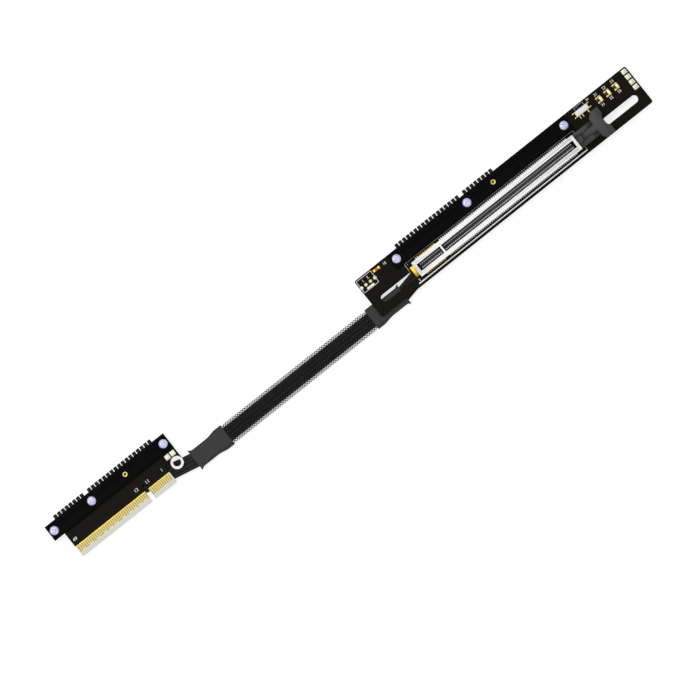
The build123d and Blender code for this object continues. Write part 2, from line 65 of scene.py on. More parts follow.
def linear(colour: str) -> Colour:
    """Turns an sRGB colour to linear light.

    Args:
        colour: six hex digits after a hash sign.

    Returns:
        Red, green, blue and alpha.
    """
    channels = [int(colour[i : i + 2], 16) / 255 for i in (1, 3, 5)]
    light = [c / 12.92 if c <= 0.04045 else ((c + 0.055) / 1.055) ** 2.4 for c in channels]
    return (light[0], light[1], light[2], 1.0)


def put(
    tree: bpy.types.NodeTree,
    kind: str,
    settings: dict | None = None,
    values: dict | None = None,
    links: dict | None = None,
) -> bpy.types.Node:
    """Adds one shader node.

    Args:
        tree: the material's node tree.
        kind: the node's type.
        settings: the node's own properties.
        values: what its unlinked sockets hold.
        links: the outputs that its other sockets take.

    Returns:
        The new node.
    """
    node = tree.nodes.new(kind)
    for name, value in (settings or {}).items():
        setattr(node, name, value)
    for socket, value in (values or {}).items():
        node.inputs[socket].default_value = value
    for socket, source in (links or {}).items():
        tree.links.new(source, node.inputs[socket])
    return node


@dataclass(frozen=True)
class Finish:
    """A surface, named for what the real one is made of and how it was made."""

    name: str
    colour: str
    shade: str
    roughness: float
    metallic: float = 0.0
    gloss: float = 0.5
    grain_mm: float = 0.4
    relief_mm: float = 0.004
    spread: float = 0.08
    stretch: tuple[float, float, float] = (1.0, 1.0, 1.0)
    coat: float = 0.0
    glow: float = 0.0

    def material(self) -> bpy.types.Material:
        """Makes the material, or gives the one made before."""
        found = bpy.data.materials.get(self.name)
        if found:
            return found
        made = bpy.data.materials.new(self.name)
        made.use_nodes = True
        tree = made.node_tree
        tree.nodes.clear()
        place = put(tree, "ShaderNodeTexCoord").outputs["Object"]
        grain = self.grain(tree, place)
        colour = self.tint(tree, place, grain)
        rough = put(
            tree,
            "ShaderNodeMapRange",
            values={"To Min": self.roughness - self.spread, "To Max": self.roughness + self.spread},
            links={"Value": grain},
        )
        bump = put(
            tree,
            "ShaderNodeBump",
            values={"Distance": self.relief_mm * MM},
            links={"Height": self.relief(tree, place, grain)},
        )
        shader = put(
            tree,
            "ShaderNodeBsdfPrincipled",
            values={
                "Metallic": self.metallic,
                "Specular IOR Level": self.gloss,
                "Coat Weight": self.coat,
                "Coat Roughness": 0.15,
                "Emission Color": linear(self.colour),
                "Emission Strength": self.glow,
            },
            links={
                "Base Color": colour,
                "Roughness": rough.outputs["Result"],
                "Normal": bump.outputs["Normal"],
            },
        )
        put(tree, "ShaderNodeOutputMaterial", links={"Surface": shader.outputs["BSDF"]})
        return made

    def grain(self, tree: bpy.types.NodeTree, place: bpy.types.NodeSocket) -> bpy.types.NodeSocket:
        """The fine unevenness that colour, gloss and relief share."""
        turned = put(
            tree,
            "ShaderNodeMapping",
            values={"Scale": self.stretch},
            links={"Vector": place},
        )
        noise = put(
            tree,
            "ShaderNodeTexNoise",
            values={"Scale": 1 / (self.grain_mm * MM), "Detail": 4.0, "Roughness": 0.55},
            links={"Vector": turned.outputs["Vector"]},
        )
        return noise.outputs["Fac"]

    def tint(
        self,
        tree: bpy.types.NodeTree,
        place: bpy.types.NodeSocket,
        grain: bpy.types.NodeSocket,
    ) -> bpy.types.NodeSocket:
        """The colour, which wanders between the finish's two colours."""
        return mixed(tree, grain, self.colour, self.shade)

    def relief(
        self,
        tree: bpy.types.NodeTree,
        place: bpy.types.NodeSocket,
        grain: bpy.types.NodeSocket,
    ) -> bpy.types.NodeSocket:
        """The height that the bump takes."""
        return grain


def mixed(
    tree: bpy.types.NodeTree,
    share: bpy.types.NodeSocket,
    low: str | bpy.types.NodeSocket,
    high: str | bpy.types.NodeSocket,
) -> bpy.types.NodeSocket:
    """Mixes two colours, each a hex colour or a socket, by a share from 0 to 1."""
    mix = put(tree, "ShaderNodeMix", settings={"data_type": "RGBA"})
    tree.links.new(share, mix.inputs["Factor"])
    for index, colour in ((6, low), (7, high)):
        if isinstance(colour, str):
            mix.inputs[index].default_value = linear(colour)
        else:
            tree.links.new(colour, mix.inputs[index])
    return mix.outputs[2]


@dataclass(frozen=True)
class SolderMask(Finish):
    """Black solder mask over glass-filled laminate: satin, near black with an olive cast, and
    the glass cloth just shows through it. Below bare_y the laminate is bare and pale, and the
    routed edges show its core."""

    cloth_mm: float = 0.6
    bare: str = "#D7DACD"
    core: str = "#3A3622"
    bare_y: float = -1000.0

    def threads(self, tree: bpy.types.NodeTree, place: bpy.types.NodeSocket) -> bpy.types.NodeSocket:
        """The glass cloth's two sets of threads, as one height."""
        height = None
        for direction in ("X", "Y"):
            wave = put(
                tree,
                "ShaderNodeTexWave",
                settings={"bands_direction": direction},
                values={"Scale": math.pi / 10 / (self.cloth_mm * MM), "Distortion": 0.6},
                links={"Vector": place},
            ).outputs["Fac"]
            if height is None:
                height = wave
            else:
                height = put(
                    tree, "ShaderNodeMath", settings={"operation": "MAXIMUM"}, links={0: height, 1: wave}
                ).outputs[0]
        return height

    def relief(
        self,
        tree: bpy.types.NodeTree,
        place: bpy.types.NodeSocket,
        grain: bpy.types.NodeSocket,
    ) -> bpy.types.NodeSocket:
        """The cloth's threads over the mask's own orange peel."""
        cloth = self.threads(tree, place)
        return put(
            tree,
            "ShaderNodeMath",
            settings={"operation": "MULTIPLY_ADD"},
            values={1: 0.5},
            links={0: cloth, 2: grain},
        ).outputs[0]

    def tint(
        self,
        tree: bpy.types.NodeTree,
        place: bpy.types.NodeSocket,
        grain: bpy.types.NodeSocket,
    ) -> bpy.types.NodeSocket:
        """Mask on the faces, pale laminate on the bare strip and the core along cut edges."""
        mask = mixed(tree, grain, self.colour, self.shade)
        split = put(tree, "ShaderNodeSeparateXYZ", links={"Vector": place})
        bare = put(
            tree,
            "ShaderNodeMath",
            settings={"operation": "LESS_THAN"},
            values={1: self.bare_y * MM},
            links={0: split.outputs["Y"]},
        ).outputs[0]
        coated = mixed(tree, bare, mask, self.bare)
        facing = put(tree, "ShaderNodeNewGeometry").outputs["True Normal"]
        tilt = put(tree, "ShaderNodeSeparateXYZ", links={"Vector": facing}).outputs["Z"]
        upright = put(
            tree, "ShaderNodeMath", settings={"operation": "ABSOLUTE"}, links={0: tilt}
        ).outputs[0]
        cut = put(
            tree, "ShaderNodeMath", settings={"operation": "LESS_THAN"}, values={1: 0.2}, links={0: upright}
        ).outputs[0]
        return mixed(tree, cut, coated, self.core)


@dataclass(frozen=True)
class CutFilament(Finish):
    """Drawn polyester monofilament laid side by side: glossy lines along the cable's run."""

    filament_mm: float = 0.24

    def relief(
        self,
        tree: bpy.types.NodeTree,
        place: bpy.types.NodeSocket,
        grain: bpy.types.NodeSocket,
    ) -> bpy.types.NodeSocket:
        """Rounded filaments side by side."""
        wave = put(
            tree,
            "ShaderNodeTexWave",
            settings={"bands_direction": "DIAGONAL"},
            values={"Scale": math.pi / 10 / (self.filament_mm * MM), "Distortion": 0.4},
            links={"Vector": place},
        )
        return wave.outputs["Fac"]


class Surface(Enum):
    """Every finish on the object."""

    # Glass-filled nylon, moulded: dead black with a fine, dry grain.
    COVER = Finish(
        "glass_nylon_moulded", "#020202", "#050505", 0.62, gloss=0.05, grain_mm=0.25, relief_mm=0.01
    )
    # Extruded ribbon jacket: black, drawn out along the run, so its sheen runs with it.
    RIBBON = Finish(
        "ribbon_jacket_extruded", "#151516", "#1B1B1D", 0.5, gloss=0.18, grain_mm=0.5, stretch=(0.2, 1, 1)
    )
    # Polyolefin shrunk by heat: dark grey and waxy, a little uneven where it drew down.
    SHRINK = Finish(
        "polyolefin_shrunk", "#2B2B2B", "#313131", 0.55, gloss=0.25, grain_mm=2.4, relief_mm=0.05
    )
    # Drawn polyester filament: black with a thin line of light along each strand.
    BRAID = CutFilament("polyester_braid_drawn", "#060607", "#0B0B0C", 0.42, gloss=0.12, relief_mm=0.02)
    # White liquid-crystal polymer, moulded: bright, slightly soft in its gloss.
    SLOT = Finish("socket_polymer_moulded", "#F7F7F5", "#F0F0EE", 0.45, grain_mm=0.8, relief_mm=0.006)
    # The same white moulding down in the card cavities and their lead-ins, painted near black as the shade
    # that lies in them.
    THROAT = Finish("socket_polymer_shaded", "#0C0C0C", "#141414", 0.7, gloss=0.15)
    # The spine between the two rows of contacts, the same white moulding: painted mid grey as the shade at
    # the cavities' floor.
    SPINE = Finish("socket_spine_shaded", "#868686", "#909090", 0.6, gloss=0.3)
    # Nylon latch, moulded: mid grey and satin with a fine grain.
    LATCH = Finish(
        "latch_nylon_moulded", "#353535", "#3C3C3C", 0.5, gloss=0.3, grain_mm=0.3, relief_mm=0.008
    )
    # Phosphor bronze, tin plated: light grey metal that catches the light at its bends.
    TIN = Finish("bronze_contact_tinned", "#C4C4C8", "#D2D2D6", 0.36, metallic=0.7, grain_mm=0.2)
    # Copper under flash gold: warm, deep yellow metal.
    GOLD = Finish("copper_gold_plated", "#D8AE3C", "#CCA02E", 0.32, gloss=0.3, metallic=0.6, grain_mm=0.3)
    # Hard gold on the card edge: browner and flatter than flash gold.
    FINGER = Finish("edge_finger_gold", "#AE982E", "#A08820", 0.36, gloss=0.2, metallic=0.5, grain_mm=0.2)
    # The plating line above the fingers, thin and not yet worn: paler gold.
    TIE = Finish("plating_line_gold", "#E0CC5C", "#D4BE48", 0.34, gloss=0.2, metallic=0.5, grain_mm=0.2)
    # Steel screw, nickel plated: a cool, bluish white metal.
    SCREW = Finish("steel_nickel_plated", "#C4C9F0", "#D6DAF6", 0.34, metallic=0.45, grain_mm=0.3)
    # Turned brass: pale yellow metal with fine turning marks.
    BRASS = Finish("brass_turned", "#D6C66C", "#C6B456", 0.32, metallic=0.6, grain_mm=0.15)
    # Hot-air levelled pad: a thin, creamy skin of tin.
    PAD = Finish("pad_hot_air_tinned", "#EBEBD7", "#E2E2C8", 0.4, metallic=0.1, grain_mm=0.5)
    # Reflowed solder: a duller, greener cushion on each pad.
    SOLDER = Finish("solder_reflowed", "#CDCDA0", "#D8D8B4", 0.3, metallic=0.4, grain_mm=0.6, relief_mm=0.02)
    # White polyamide switch shell, moulded.
    SWITCH = Finish("switch_polyamide_moulded", "#EFEFF2", "#E6E6EA", 0.45, grain_mm=0.3)
    # Black nylon slider, moulded.
    SLIDER = Finish("slider_nylon_moulded", "#1A1A1A", "#222222", 0.5, gloss=0.3)
    # Clear epoxy cast over the light: white and wet-looking.
    LIGHT = Finish("lens_epoxy_cast", "#FDFDF6", "#F4F4E8", 0.2, grain_mm=0.6, coat=0.5)
    # Fired glaze of a chip resistor: black with a hard shine.
    CHIP = Finish("resistor_glaze_fired", "#0A0A0C", "#121216", 0.35, gloss=0.4)
    # Red epoxy cast over the lamp.
    LAMP = Finish("lens_epoxy_red", "#B4161C", "#C62026", 0.2, grain_mm=0.6, coat=0.5)
    # Plated end of a chip part: yellow metal, soft at its edges.
    CHIP_END = Finish("chip_end_plated", "#EAC65E", "#DDB446", 0.35, metallic=0.5, grain_mm=0.3)
    # Epoxy ink, screen printed: flat white.
    INK = Finish("legend_epoxy_printed", "#F4F4F2", "#EAEAE8", 0.6, grain_mm=0.2)
    # The same ink where the print is thin and the mask shows through it.
    FAINT_INK = Finish("legend_epoxy_thin", "#B8B8B2", "#A8A8A2", 0.6, grain_mm=0.2)
    # White paper lit from behind, as a light table: even and free of hard shadow.
    FLOOR = Finish(
        "backlit_paper", "#B8B8B8", "#B4B4B4", 0.9, gloss=0.1, grain_mm=3.0, relief_mm=0.0, glow=1.5
    )

    def material(self) -> bpy.types.Material:
        """The finish's material."""
        return self.value.material()


@dataclass(frozen=True)
class Block:
    """A node's lowest and highest corners at rest, in millimetres."""

    lo: Vector
    hi: Vector

    @classmethod
    def of(cls, node: str) -> Block:
        """Reads a node's corners from the frame."""
        lo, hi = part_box(node)
        return cls(lo / MM, hi / MM)

    @property
    def middle(self) -> Vector:
        """The point halfway between the corners."""
        return (self.lo + self.hi) / 2


@dataclass(frozen=True)
class Plan:
    """A board's own plan: u from its left end, v down from its top edge."""

    left: float
    top: float
    back: float
    face: float

    @classmethod
    def of(cls, node: str) -> Plan:
        """Reads a board's plan from its node."""
        block = Block.of(node)
        return cls(block.lo.x, block.hi.y, block.lo.z, block.hi.z)

    def at(self, u: float, v: float, z: float) -> Vector:
        """The point of the frame at u and v on the plan and height z."""
        return Vector((self.left + u, self.top - v, z))


def placed(origin: Vector, side: Vector, up: Vector) -> Matrix:
    """A placement with its x along side, its y along up and its origin where asked."""
    turn = Matrix((side, up, side.cross(up))).transposed().to_4x4()
    return Matrix.Translation(origin) @ turn


class Stock:
    """A mesh in the making, in millimetres."""

    def __init__(self) -> None:
        """Starts with nothing."""
        self.mesh = bmesh.new()

    @classmethod
    def of_node(cls, node: str) -> Stock:
        """Starts from a merged copy of a node's solids."""
        stock = cls()
        stock.mesh.from_mesh(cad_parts[node].data)
        stock.mesh.transform(Matrix.Scale(1 / MM, 4))
        bmesh.ops.remove_doubles(stock.mesh, verts=stock.mesh.verts[:], dist=0.002)
        bmesh.ops.dissolve_limit(
            stock.mesh,
            angle_limit=math.radians(1),
            verts=stock.mesh.verts[:],
            edges=stock.mesh.edges[:],
        )
        return stock

    def block(self, lo: Vector, hi: Vector) -> list[bmesh.types.BMVert]:
        """Adds a block between two corners."""
        size = hi - lo
        place = Matrix.Translation((lo + hi) / 2) @ Matrix.Diagonal((*size, 1))
        return bmesh.ops.create_cube(self.mesh, size=1, matrix=place)["verts"]

    def turned(self, profile: list[Point], centre: Vector, facets: int = 32) -> None:
        """Adds a turned solid.

        Args:
            profile: radius and height of each point, from one end of the axis to the other.
            centre: where the axis stands; its z is added to each height.
            facets: steps round the axis.
        """
        points = [self.mesh.verts.new(centre + Vector((r, 0, z))) for r, z in profile]
        edges = [self.mesh.edges.new(pair) for pair in zip(points, points[1:])]
        bmesh.ops.spin(
            self.mesh,
            geom=points + edges,
            cent=centre,
            axis=UP,
            angle=math.tau,
            steps=facets,
            use_merge=True,
        )
        bmesh.ops.remove_doubles(self.mesh, verts=self.mesh.verts[:], dist=0.0005)

    def swept(self, outline: list[Point], stations: list[Matrix], closed: bool = True) -> None:
        """Carries an outline through a row of placements.

        Args:
            outline: points across the run, in each placement's x and y.
            stations: placements, from the first end to the last.
            closed: whether both ends get a face.
        """
        start = [self.mesh.verts.new(stations[0] @ Vector((x, y, 0))) for x, y in outline]
        first = [self.mesh.edges.new(pair) for pair in zip(start, start[1:] + start[:1])]
        ring = first
        for here, there in zip(stations, stations[1:]):
            grown = bmesh.ops.extrude_edge_only(self.mesh, edges=ring)["geom"]
            ends = [e for e in grown if isinstance(e, bmesh.types.BMVert)]
            ring = [e for e in grown if isinstance(e, bmesh.types.BMEdge) and e.is_boundary]
            bmesh.ops.transform(self.mesh, matrix=there @ here.inverted(), verts=ends)
        if closed:
            bmesh.ops.edgeloop_fill(self.mesh, edges=first)
            bmesh.ops.edgeloop_fill(self.mesh, edges=ring)

    def soften(self, width: float, segments: int = 2, corner: float = 30.0) -> Stock:
        """Rounds every edge that turns by more than corner degrees."""
        sharp = [
            e
            for e in self.mesh.edges
            if len(e.link_faces) == 2 and e.calc_face_angle(0.0) > math.radians(corner)
        ]
        bmesh.ops.bevel(
            self.mesh,
            geom=sharp,
            offset=width,
            offset_type="OFFSET",
            segments=segments,
            profile=0.5,
            affect="EDGES",
            material=-1,
            clamp_overlap=True,
        )
        return self

    def add(self, other: Stock, place: Matrix) -> None:
        """Adds a copy of another stock at a placement."""
        mesh = bpy.data.meshes.new("part")
        other.mesh.to_mesh(mesh)
        mesh.transform(place)
        self.mesh.from_mesh(mesh)
        bpy.data.meshes.remove(mesh)

    def piece(self, name: str, *finishes: Surface | Finish, smooth: float = 40.0) -> bpy.types.Object:
        """Makes the object, in metres.

        Args:
            name: the piece's name.
            finishes: its finishes, in the order of its faces' material numbers.
            smooth: edges that turn by less than this many degrees are shaded smooth.

        Returns:
            The object, at the origin.
        """
        mesh = bpy.data.meshes.new(name)
        self.mesh.transform(Matrix.Scale(MM, 4))
        self.mesh.to_mesh(mesh)
        self.mesh.free()
        for finish in finishes:
            mesh.materials.append(finish.material())
        mesh.shade_smooth()
        mesh.set_sharp_from_angle(angle=math.radians(smooth))
        made = bpy.data.objects.new(name, mesh)
        bpy.context.scene.collection.objects.link(made)
        return made

    def outward(self) -> Stock:
        """Turns every face outwards."""
        bmesh.ops.recalc_face_normals(self.mesh, faces=self.mesh.faces[:])
        return self


def seat(piece: bpy.types.Object, slot: str, *nodes: str, body: str = "root") -> bpy.types.Object:
    """Puts a finished piece on its body.

    Args:
        piece: the finished object.
        slot: the record's finish that it takes; not used.
        nodes: the solids that it stands for.
        body: the body that it rides on.

    Returns:
        The same object.
    """
    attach(piece, body)
    if nodes:
        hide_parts(*nodes)
    log.info("%s: %d faces", piece.name, len(piece.data.polygons))
    return piece


def carve(piece: bpy.types.Object, cutter: bpy.types.Object) -> None:
    """Takes the cutter's shape out of a piece and deletes the cutter."""
    tool = piece.modifiers.new("carve", "BOOLEAN")
    tool.object = cutter
    tool.operation = "DIFFERENCE"
    tool.solver = "EXACT"
    graph = bpy.context.evaluated_depsgraph_get()
    cut = bpy.data.meshes.new_from_object(piece.evaluated_get(graph))
    piece.modifiers.clear()
    piece.data = cut
    bpy.data.objects.remove(cutter)


def dress(node: str, finish: Surface | Finish) -> None:
    """Gives a node that keeps its own solid a finish."""
    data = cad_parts[node].data
    data.materials.clear()
    data.materials.append(finish.material())
    log.info("%s: dressed", node)


def softened(
    node: str,
    slot: str,
    finish: Surface | Finish,
    width: float,
    body: str = "root",
    segments: int = 2,
) -> bpy.types.Object:
    """Replaces a node by a copy with rounded edges, named for it."""
    stock = Stock.of_node(node).soften(width, segments)
    return seat(stock.piece(node + "_moulded", finish), slot, node, body=body)


def read_route(points: list[Vector], steps: int = 24) -> list[Vector]:
    """Reads points along the smooth line that a cord's control points give.

    Args:
        points: the control points, in metres.
        steps: points read for each span.

    Returns:
        The points of the line, first to last.
    """
    curve = bpy.data.curves.new("route", "CURVE")
    curve.dimensions = "3D"
    curve.resolution_u = steps
    spline = curve.splines.new("NURBS")
    spline.points.add(len(points) - 1)
    for knot, point in zip(spline.points, points):
        knot.co = (*point, 1)
    spline.order_u = 3
    spline.use_endpoint_u = True
    holder = bpy.data.objects.new("route", curve)
    line = bpy.data.meshes.new_from_object(holder)
    found = [v.co.copy() for v in line.vertices]
    bpy.data.objects.remove(holder)
    bpy.data.curves.remove(curve)
    bpy.data.meshes.remove(line)
    return found


@dataclass(frozen=True)
class FlatTube:
    """A flattened tube's outline: a rectangle with round corners, seen along the cable."""

    width: float
    height: float
    corner: float

    @property
    def around(self) -> float:
        """The length once round the outline."""
        flats = 2 * (self.width + self.height - 4 * self.corner)
        return flats + math.tau * self.corner

    def at(self, distance: float) -> tuple[Point, Point]:
        """Walks round the outline from the middle of its +y side.

        Args:
            distance: how far to walk, towards +z first.

        Returns:
            The point reached and the outward direction there, each as y and z.
        """
        left = distance % self.around
        r, half_y, half_z = self.corner, self.width / 2, self.height / 2
        quarter = math.pi * r / 2
        centres = (
            (half_y - r, half_z - r),
            (r - half_y, half_z - r),
            (r - half_y, r - half_z),
            (half_y - r, r - half_z),
        )
        flats = (half_z - r, 2 * (half_y - r), 2 * (half_z - r), 2 * (half_y - r), half_z - r)
        point, heading = Vector((half_y, 0)), Vector((0, 1))
        for index, flat in enumerate(flats):
            if left <= flat or index == 4:
                spot = point + heading * left
                return (spot.x, spot.y), (heading.y, -heading.x)
            left -= flat
            centre = Vector(centres[index])
            if left <= quarter:
                turn = index * math.pi / 2 + left / r
                out = Vector((math.cos(turn), math.sin(turn)))
                spot = centre + out * r
                return (spot.x, spot.y), (out.x, out.y)
            left -= quarter
            turn = (index + 1) * math.pi / 2
            out = Vector((math.cos(turn), math.sin(turn)))
            point, heading = centre + out * r, Vector((-out.y, out.x))
        return (point.x, point.y), (heading.y, -heading.x)

    def outline(self, count: int) -> list[Point]:
        """Evenly spaced points once round."""
        return [self.at(self.around * i / count)[0] for i in range(count)]


def eased(points: list[Vector], radius: float, steps: int = 6) -> list[Vector]:
    """Turns each corner of a bent line into an arc.

    Args:
        points: the line's corners.
        radius: the arcs' radius, less where a run is too short for it.
        steps: chords in each arc.

    Returns:
        The rounded line's points.
    """
    line = [points[0]]
    for before, corner, after in zip(points, points[1:], points[2:]):
        into, out = corner - before, after - corner
        turn = into.angle(out)
        if turn < math.radians(0.5):
            line.append(corner)
            continue
        reach = min(radius * math.tan(turn / 2), 0.48 * into.length, 0.48 * out.length)
        bend = reach / math.tan(turn / 2)
        start = corner - into.normalized() * reach
        axis = into.cross(out).normalized()
        centre = start + axis.cross(into).normalized() * bend
        for step in range(steps + 1):
            line.append(centre + Matrix.Rotation(turn * step / steps, 3, axis) @ (start - centre))
    return line + [points[-1]]


@dataclass
class Sheath:
    """The braid's outline across the cable: flat over the ribbons, with a thin fin at each side."""

    width: float
    height: float
    flat: float = 3.35
    shoulder: tuple[float, float] = (0.5, 0.79)
    fin_r: float = 0.25
    blend: float = 0.12
    line: list[Vector] = field(init=False)
    reach: list[float] = field(init=False)

    def __post_init__(self) -> None:
        """Works out the outline once, from the middle of its lower flat, the +y side first."""
        y, z = self.width / 2, self.height / 2
        bend = (self.flat + self.shoulder[0], self.shoulder[1] * z)
        slope = math.atan2(bend[1], y - bend[0])
        tip = y + self.fin_r * (1 / math.cos(math.pi / 2 - slope) - 1)
        side = [(self.flat, -z), (bend[0], -bend[1]), (tip, 0.0), bend, (self.flat, z)]
        corners = [(0.0, -z)] + side + [(-a, -b) for a, b in side] + [(0.0, -z)]
        self.line = eased([Vector((0, a, b)) for a, b in corners], self.fin_r, 8)
        self.reach = [0.0]
        for here, there in zip(self.line, self.line[1:]):
            self.reach.append(self.reach[-1] + (there - here).length)

    @property
    def around(self) -> float:
        """The length once round the outline."""
        return self.reach[-1]

    def spot(self, distance: float) -> Vector:
        """The point at a distance from the tip of the +y fin, towards +z first."""
        walked = (distance + self.around / 4) % self.around
        index = min(max(bisect_right(self.reach, walked), 1), len(self.line) - 1)
        low, high = self.reach[index - 1], self.reach[index]
        return self.line[index - 1].lerp(self.line[index], (walked - low) / (high - low))

    def at(self, distance: float) -> tuple[Point, Point]:
        """Walks round the outline from the tip of its +y fin.

        Args:
            distance: how far to walk, towards +z first.

        Returns:
            The point reached and the outward direction there, each as y and z.
        """
        spot = self.spot(distance)
        heading = (self.spot(distance + self.blend) - self.spot(distance - self.blend)).normalized()
        return (spot.y, spot.z), (heading.z, -heading.y)


@dataclass
class Ribbons:
    """The flat ribbons of one end: two banks that fold over the board's edge, fan out behind it
    and stack up into the heat-shrink's mouth."""

    end: str
    plan: Plan
    toward: int
    lane_count: int = 17
    aux_count: int = 8
    pitch: float = 2.0875
    width: float = 1.66
    thick: float = 0.46
    layers: int = 7
    columns: int = 4
    layer_pitch: float = 0.52
    column_pitch: float = 1.75
    bump: float = 1.7
    hug: float = 0.05
    front_leg: float = 5.0
    slope_v: float = 4.6
    join_v: float = 5.4
    fan_slope: float = 0.21
    kink_in: float = 1.0
    tube_depth: float = 6.0
    conductors: int = 3
    groove: float = 0.07
    edge: float = 0.2
    stagger: float = 0.06

    def outline(self) -> list[Point]:
        """Across one ribbon: a swell over each conductor and rounded edges."""
        face = []
        steps = 4 * self.conductors
        for step in range(steps + 1):
            along = step / steps
            dip = self.groove * (0.5 + 0.5 * math.cos(math.tau * self.conductors * along))
            side = (along - 0.5) * (self.width - 2 * self.edge)
            face.append((side, self.thick / 2 - dip))
        half = self.width / 2
        shoulder = (half - 0.25 * self.edge, 0.25 * self.thick)
        rim = [shoulder, (half, 0.0), (shoulder[0], -shoulder[1])]
        below = [(x, -y) for x, y in reversed(face)]
        return face + rim + below + [(-x, y) for x, y in reversed(rim)]

    def line(self, x: float, index: int, tube: Block, stack_z: float) -> list[Matrix]:
        """Placements along one ribbon, from its soldered end to the heat-shrink.

        Args:
            x: where it crosses the board's edge.
            index: its number, counted from the cable.
            tube: the heat-shrink that it runs into.
            stack_z: height of the middle of the stack.

        Returns:
            The placements, with each one's x across the ribbon.
        """
        column, layer = divmod(index, self.layers)
        layer_z = stack_z + ((self.layers - 1) / 2 - layer) * self.layer_pitch
        front = self.plan.face + self.hug + self.thick / 2
        rear = self.plan.back - self.hug - self.thick / 2
        bend = (front - rear) / 2
        bend_y = self.plan.top + self.bump - bend - self.thick / 2
        bend_z = (front + rear) / 2
        over = [Vector((x, self.plan.top - self.front_leg, front))]
        for step in range(17):
            turn = math.pi / 2 - math.pi * step / 16
            over.append(Vector((x, bend_y + bend * math.cos(turn), bend_z + bend * math.sin(turn))))
        down = eased(
            [
                over[-1],
                Vector((x, bend_y - 0.6, rear)),
                Vector((x, self.plan.top - self.slope_v, layer_z)),
                Vector((x, self.plan.top - self.join_v, layer_z)),
            ],
            3.0,
        )
        mouth = tube.hi.x if self.toward < 0 else tube.lo.x
        kink = mouth + self.toward * self.kink_in
        column_y = tube.middle.y + self.column_shift(column, layer)
        corner = column_y + self.fan_slope * abs(kink - x)
        fan = eased(
            [
                down[-1],
                Vector((x, corner, layer_z)),
                Vector((kink, column_y, layer_z)),
                Vector((mouth + self.toward * self.tube_depth, column_y, layer_z)),
            ],
            2.2,
            8,
        )
        across = Vector((1, 0, 0))
        points = over + down[1:] + fan[1:]
        stations = []
        last = len(points) - 1
        flat = len(over) + len(down) - 2
        for i, point in enumerate(points):
            ahead = (points[min(i + 1, last)] - points[max(i - 1, 0)]).normalized()
            side = across if i <= flat else Vector((-ahead.y, ahead.x, 0)).normalized()
            stations.append(placed(point, side, ahead.cross(side)))
        return stations

    def column_shift(self, column: int, layer: int) -> float:
        """How far a column's ribbon lies from the cable's middle; layers lie staggered."""
        stagger = self.stagger if layer % 2 else -self.stagger
        return ((self.columns - 1) / 2 - column) * self.column_pitch + stagger

    def build(self) -> None:
        """Makes both banks, each for its own node."""
        tube = Block.of(self.end + "_heat_shrink")
        lanes = Block.of(self.end + "_lane_ribbons")
        aux = Block.of(self.end + "_aux_ribbons")
        stack_z = lanes.lo.z + self.thick / 2 + (self.layers - 1) / 2 * self.layer_pitch
        outline = self.outline()
        banks = (
            ("lane_ribbons", lanes, self.lane_count, 0),
            ("aux_ribbons", aux, self.aux_count, self.lane_count),
        )
        for name, block, count, first in banks:
            far = block.hi.x - self.width / 2 if self.toward < 0 else block.lo.x + self.width / 2
            stock = Stock()
            for i in range(count):
                x = far + self.toward * self.pitch * (count - 1 - i)
                single = Stock()
                single.swept(outline, self.line(x, first + i, tube, stack_z))
                stock.add(single, Matrix.Identity(4))
                single.mesh.free()
            node = f"{self.end}_{name}"
            seat(stock.outward().piece(node + "_jacketed", Surface.RIBBON, smooth=60), "ribbon_black", node)


